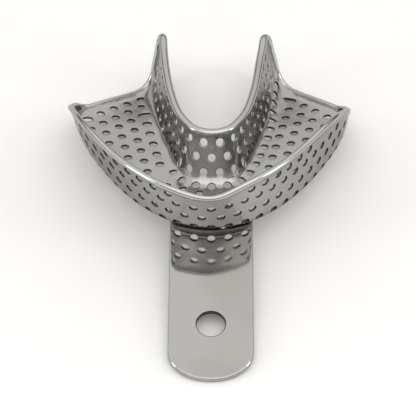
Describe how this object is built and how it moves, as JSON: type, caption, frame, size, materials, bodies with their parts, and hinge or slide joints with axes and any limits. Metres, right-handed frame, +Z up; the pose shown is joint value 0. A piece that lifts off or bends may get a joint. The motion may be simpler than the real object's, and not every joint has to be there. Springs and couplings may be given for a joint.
{
  "type": "perforated dental impression tray",
  "caption": "Lower edentulous impression tray: perforated steel trough shaped like a horseshoe, round wire bead along its border, flat strip handle with a hanging hole",
  "frame": {"origin": "Middle of the tray's overall box, on the surface that it rests on", "axes": "+X to one side of the jaw, +Y from the handle back towards the heels, +Z up out of the trough"},
  "size_m": [0.0874, 0.1281, 0.0303],
  "materials": {
    "pressed_sheet": "polished stainless steel, perforated",
    "border_wire": "polished stainless steel wire",
    "handle_strip": "polished stainless steel with fine lengthwise brush marks"
  },
  "bodies": {
    "root": {"tray_shell": "pressed_sheet", "rim_wire": "border_wire", "handle": "handle_strip"}
  },
  "joints": []
}
